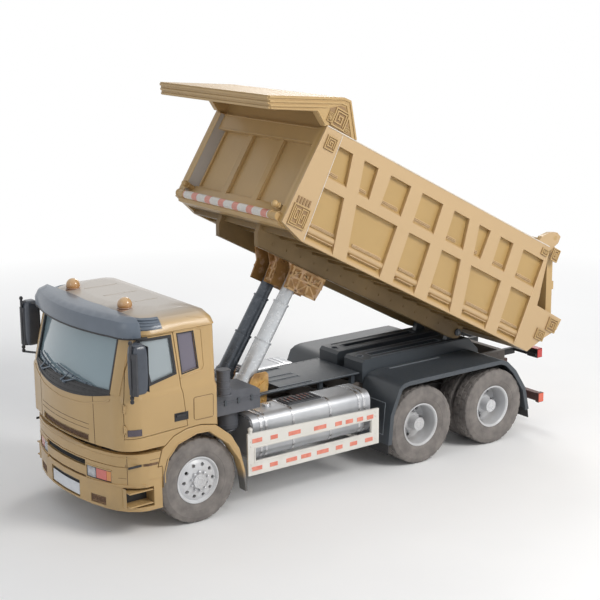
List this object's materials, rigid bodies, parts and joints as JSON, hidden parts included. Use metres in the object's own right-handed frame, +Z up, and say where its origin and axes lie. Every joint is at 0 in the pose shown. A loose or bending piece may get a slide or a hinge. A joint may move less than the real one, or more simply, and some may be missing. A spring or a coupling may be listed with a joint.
{
  "type": "dump truck",
  "caption": "Tan three-axle dump truck with its ribbed body raised on twin telescopic cylinders, a canopy over the front wall and a grey sun visor.",
  "frame": {"origin": "middle of the footprint's box, on the ground", "axes": "-Y is the front of the truck, +X its left side, +Z up"},
  "size_m": [3, 7.4714, 5.1964],
  "materials": {
    "tan_paint": "gloss",
    "tan_body": "satin",
    "slate_paint": "satin",
    "visor_paint": "satin",
    "chassis_paint": "satin",
    "ochre_paint": "satin",
    "white_paint": "satin",
    "grey_plastic": "matte",
    "dark_plastic": "matte",
    "tank_metal": "brushed",
    "cylinder_steel": "satin",
    "iron": "rough",
    "tyre": "matte",
    "rim_paint": "satin",
    "window_glass": "clear",
    "blank_glass": "tinted",
    "amber_lens": "gloss",
    "clear_lens": "gloss",
    "red_lens": "gloss",
    "brown_mesh": "matte",
    "seat_cloth": "woven"
  },
  "bodies": {
    "chassis": {"frame": "chassis_paint", "deck_cover": "slate_paint", "subframe_rails": "slate_paint", "bumper": "tan_paint", "headlamps": "clear_lens", "bumper_grille": "brown_mesh", "front_arches": "tan_paint", "engine": "iron", "front_axle": "iron", "rear_axles": "iron", "springs": "iron", "fuel_tanks": "tank_metal", "side_guards": "white_paint", "air_cleaner": "grey_plastic", "rear_fenders": "slate_paint", "tail_lamps": "red_lens", "underrun_beam": "chassis_paint", "hoist_cradle": "ochre_paint"},
    "hoist_barrels": {"hoist_barrels": "cylinder_steel"},
    "hoist_stage_1": {"hoist_stage_1": "cylinder_steel"},
    "hoist_stage_2": {"hoist_stage_2": "cylinder_steel"},
    "hoist_stage_3": {"hoist_stage_3": "cylinder_steel"},
    "bed": {"body_floor": "tan_body", "body_side_left": "tan_body", "body_side_right": "tan_body", "body_front_wall": "tan_body", "body_canopy": "tan_body", "hoist_head": "ochre_paint"},
    "tailgate": {"tailgate": "tan_body"},
    "cab": {"cab_shell": "tan_paint", "windscreen": "window_glass", "cab_windows": "blank_glass", "front_mesh": "brown_mesh", "visor": "visor_paint", "beacons": "amber_lens", "wipers": "dark_plastic", "seats": "seat_cloth", "dashboard": "dark_plastic"},
    "door_left": {"door_left": "tan_paint", "door_glass_left": "window_glass", "mirror_left": "dark_plastic"},
    "door_right": {"door_right": "tan_paint", "door_glass_right": "window_glass", "mirror_right": "dark_plastic"},
    "knuckle_left": {"knuckle_left": "iron"},
    "knuckle_right": {"knuckle_right": "iron"},
    "wheel_front_left": {"tyre_front_left": "tyre", "rim_front_left": "rim_paint"},
    "wheel_front_right": {"tyre_front_right": "tyre", "rim_front_right": "rim_paint"},
    "wheel_mid_left": {"tyres_mid_left": "tyre", "rim_mid_left": "rim_paint"},
    "wheel_mid_right": {"tyres_mid_right": "tyre", "rim_mid_right": "rim_paint"},
    "wheel_rear_left": {"tyres_rear_left": "tyre", "rim_rear_left": "rim_paint"},
    "wheel_rear_right": {"tyres_rear_right": "tyre", "rim_rear_right": "rim_paint"}
  },
  "joints": [
    {"name": "bed_tip", "type": "hinge", "parent": "chassis", "child": "bed", "pos_m": [0, 2.38456, 1.5], "axis": [-1, 0, 0], "range_deg": [-27.7, 15.3]},
    {"name": "gate_swing", "type": "hinge", "parent": "bed", "child": "tailgate", "pos_m": [0, 3.55456, 2.86], "axis": [1, 0, 0], "range_deg": [-14.5, 45]},
    {"name": "hoist_swing", "type": "hinge", "parent": "chassis", "child": "hoist_barrels", "pos_m": [0, -1.43544, 0.95], "axis": [1, 0, 0], "range_deg": [-28.7, 0]},
    {"name": "hoist_slide_1", "type": "slide", "parent": "hoist_barrels", "child": "hoist_stage_1", "axis": [0, 0.5442, 0.839], "range_m": [-0.5295, 0.293]},
    {"name": "hoist_slide_2", "type": "slide", "parent": "hoist_stage_1", "child": "hoist_stage_2", "axis": [0, 0.5442, 0.839], "range_m": [-0.5295, 0.293]},
    {"name": "hoist_slide_3", "type": "slide", "parent": "hoist_stage_2", "child": "hoist_stage_3", "axis": [0, 0.5442, 0.839], "range_m": [-0.5295, 0.293]},
    {"name": "cab_tilt", "type": "hinge", "parent": "chassis", "child": "cab", "pos_m": [0, -3.58544, 0.85], "axis": [1, 0, 0], "range_deg": [0, 50]},
    {"name": "door_left_swing", "type": "hinge", "parent": "cab", "child": "door_left", "pos_m": [1.162, -3.48784, 1.6], "axis": [0, 0, 1], "range_deg": [-70, 0]},
    {"name": "door_right_swing", "type": "hinge", "parent": "cab", "child": "door_right", "pos_m": [-1.162, -3.48784, 1.6], "axis": [0, 0, -1], "range_deg": [-70, 0]},
    {"name": "steer_left", "type": "hinge", "parent": "chassis", "child": "knuckle_left", "pos_m": [0.95, -2.48544, 0.545], "axis": [0, 0, 1], "range_deg": [-32, 32]},
    {"name": "steer_right", "type": "hinge", "parent": "chassis", "child": "knuckle_right", "pos_m": [-0.95, -2.48544, 0.545], "axis": [0, 0, 1], "range_deg": [-32, 32]},
    {"name": "wheel_front_left_turn", "type": "hinge", "parent": "knuckle_left", "child": "wheel_front_left", "pos_m": [1.039, -2.48544, 0.545], "axis": [1, 0, 0], "continuous": true},
    {"name": "wheel_mid_left_turn", "type": "hinge", "parent": "chassis", "child": "wheel_mid_left", "pos_m": [0.921, 1.08956, 0.545], "axis": [1, 0, 0], "continuous": true},
    {"name": "wheel_rear_left_turn", "type": "hinge", "parent": "chassis", "child": "wheel_rear_left", "pos_m": [0.921, 2.44156, 0.545], "axis": [1, 0, 0], "continuous": true},
    {"name": "wheel_front_right_turn", "type": "hinge", "parent": "knuckle_right", "child": "wheel_front_right", "pos_m": [-1.039, -2.48544, 0.545], "axis": [1, 0, 0], "continuous": true},
    {"name": "wheel_mid_right_turn", "type": "hinge", "parent": "chassis", "child": "wheel_mid_right", "pos_m": [-0.921, 1.08956, 0.545], "axis": [1, 0, 0], "continuous": true},
    {"name": "wheel_rear_right_turn", "type": "hinge", "parent": "chassis", "child": "wheel_rear_right", "pos_m": [-0.921, 2.44156, 0.545], "axis": [1, 0, 0], "continuous": true}
  ],
  "couplings": [
    {"joint": "hoist_slide_1", "follows": "bed_tip", "m_per_rad": 1.0928},
    {"joint": "hoist_slide_2", "follows": "bed_tip", "m_per_rad": 1.0928},
    {"joint": "hoist_slide_3", "follows": "bed_tip", "m_per_rad": 1.0928},
    {"joint": "steer_right", "follows": "steer_left", "ratio": 1}
  ]
}
